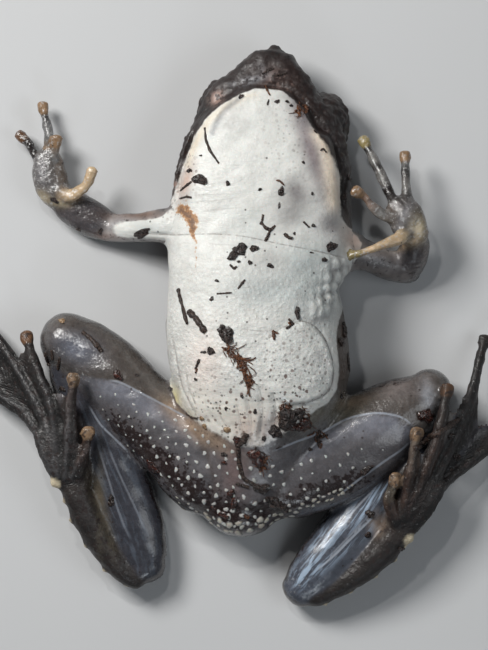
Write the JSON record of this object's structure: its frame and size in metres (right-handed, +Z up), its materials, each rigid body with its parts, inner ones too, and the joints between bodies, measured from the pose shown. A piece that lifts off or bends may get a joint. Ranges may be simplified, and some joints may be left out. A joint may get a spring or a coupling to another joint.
{
  "type": "white-bellied frog model",
  "caption": "Life-size museum model of a slender white-bellied frog lying on its back, limbs folded and spread, belly up.",
  "frame": {"origin": "middle of the object's box at floor level", "axes": "+Z up, the side of the belly; +Y toward the snout; the animal's right side at -X, because it lies on its back"},
  "size_m": [0.0526, 0.0506, 0.0115],
  "materials": {
    "belly_skin": "damp white skin, fine-grained",
    "limb_skin": "wet, half-clear blue-grey skin",
    "hand_skin": "wet grey-brown skin with tan tips",
    "back_skin": "wet, rough dark brown skin",
    "eye": "glossy black"
  },
  "bodies": {
    "root": {"torso": "belly_skin", "head": "back_skin", "lower_jaw": "belly_skin", "eye_right": "eye", "eye_left": "eye", "upper_arm_right": "limb_skin", "forearm_right": "limb_skin", "hand_right": "hand_skin", "upper_arm_left": "limb_skin", "forearm_left": "limb_skin", "hand_left": "hand_skin", "thigh_right": "limb_skin", "shank_right": "limb_skin", "tarsus_right": "back_skin", "foot_right": "back_skin", "thigh_left": "limb_skin", "shank_left": "limb_skin", "tarsus_left": "back_skin", "foot_left": "back_skin"}
  },
  "joints": []
}
